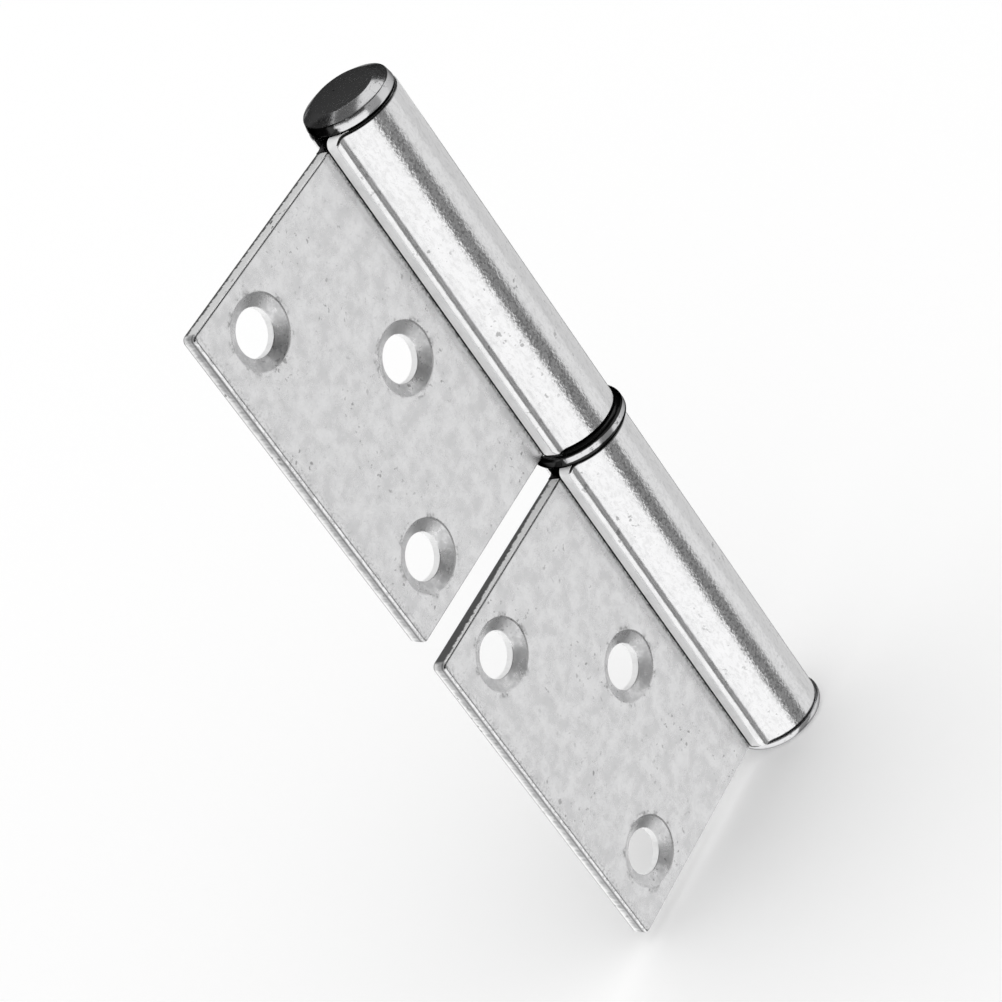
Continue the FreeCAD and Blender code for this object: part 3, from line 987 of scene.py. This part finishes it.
def card(name, start, end, low, high, strength):
    """A bent card that only reflections show, between two directions and two heights in degrees."""
    bm = bmesh.new()
    vert = bm.verts.new((CARD_DISTANCE, 0, 0))
    bmesh.ops.rotate(bm, cent=ORIGIN, matrix=Matrix.Rotation(math.radians(-low), 3, "Y"), verts=[vert])
    bmesh.ops.spin(bm, geom=[vert], cent=ORIGIN, axis=(0, -1, 0), angle=math.radians(high - low),
                   steps=CARD_RISE_STEPS)
    bmesh.ops.rotate(bm, cent=ORIGIN, matrix=Matrix.Rotation(math.radians(start), 3, "Z"), verts=bm.verts)
    bmesh.ops.spin(bm, geom=bm.verts[:] + bm.edges[:], cent=ORIGIN, axis=UP,
                   angle=math.radians(end - start), steps=CARD_STEPS)
    bmesh.ops.translate(bm, vec=AXIS, verts=bm.verts)
    piece = stage_piece("card_" + name, bm, plain_material("card_" + name, (1, 1, 1), strength))
    piece.visible_camera = False
    piece.visible_diffuse = False
    piece.visible_shadow = False
    piece.visible_transmission = False


class FLAGHINGE_OT_stage(bpy.types.Operator):
    """Set up the floor, the surroundings, the cards and the camera"""
    bl_idname = "flaghinge.stage"
    bl_label = "Studio"

    def execute(self, context):
        studio = context.scene.flaghinge_studio
        scene = context.scene
        low = CAD_BOX[0][2]
        bm = bmesh.new()
        bmesh.ops.create_circle(bm, cap_ends=True, radius=FLOOR_RADIUS, segments=FLOOR_STEPS)
        bmesh.ops.translate(bm, vec=(AXIS.x, AXIS.y, low - FLOOR_GAP), verts=bm.verts)
        floor = stage_piece("floor", bm, plain_material("floor", studio.floor))
        floor.visible_glossy = False

        for values in CARDS:
            card(*values)

        world = bpy.data.worlds.new("surroundings")
        world.use_nodes = True
        background = world.node_tree.nodes["Background"]
        background.inputs["Color"].default_value = (1, 1, 1, 1)
        background.inputs["Strength"].default_value = studio.light
        scene.world = world

        camera = bpy.data.objects.new("camera", bpy.data.cameras.new("camera"))
        camera.data.sensor_width = SENSOR
        camera.data.lens = studio.lens
        camera.data.clip_start = CLIP_START
        camera.data.clip_end = CLIP_END
        turn = (Matrix.Rotation(studio.camera_heading, 4, "Z")
                @ Matrix.Rotation(math.pi / 2 - studio.camera_tilt, 4, "X")
                @ Matrix.Rotation(studio.camera_roll, 4, "Z"))
        camera.matrix_world = Matrix.Translation(studio.camera_place) @ turn
        scene.collection.objects.link(camera)
        scene.camera = camera
        scene.view_settings.view_transform = "Standard"
        return {"FINISHED"}


OPERATORS = (
    FLAGHINGE_OT_leaves,
    FLAGHINGE_OT_bearing_ring,
    FLAGHINGE_OT_hinge_pin,
    FLAGHINGE_OT_top_plug,
    FLAGHINGE_OT_stage,
)


class FLAGHINGE_PT_panel(bpy.types.Panel):
    """Pieces of the flag hinge"""
    bl_idname = "FLAGHINGE_PT_panel"
    bl_label = "Flag hinge"
    bl_space_type = "VIEW_3D"
    bl_region_type = "UI"
    bl_category = "Flag hinge"

    def draw(self, context):
        for operator in OPERATORS:
            self.layout.operator(operator.bl_idname)


GROUPS = {
    "flaghinge_leaf": FlagHingeLeafSizes,
    "flaghinge_turned": FlagHingeTurnedSizes,
    "flaghinge_finish": FlagHingeFinish,
    "flaghinge_studio": FlagHingeStudio,
}
CLASSES = (*GROUPS.values(), *OPERATORS, FLAGHINGE_PT_panel)


def register():
    """Adds the classes, and the property groups to the scene."""
    for cls in CLASSES:
        bpy.utils.register_class(cls)
    for name, group in GROUPS.items():
        setattr(bpy.types.Scene, name, bpy.props.PointerProperty(type=group))


def unregister():
    """Takes them away again."""
    for name in GROUPS:
        delattr(bpy.types.Scene, name)
    for cls in reversed(CLASSES):
        bpy.utils.unregister_class(cls)


def main():
    """Builds the hinge and its studio."""
    register()
    bpy.ops.flaghinge.leaves()
    bpy.ops.flaghinge.bearing_ring()
    bpy.ops.flaghinge.hinge_pin()
    bpy.ops.flaghinge.top_plug()
    bpy.ops.flaghinge.stage()


if __name__ == "__main__":
    main()
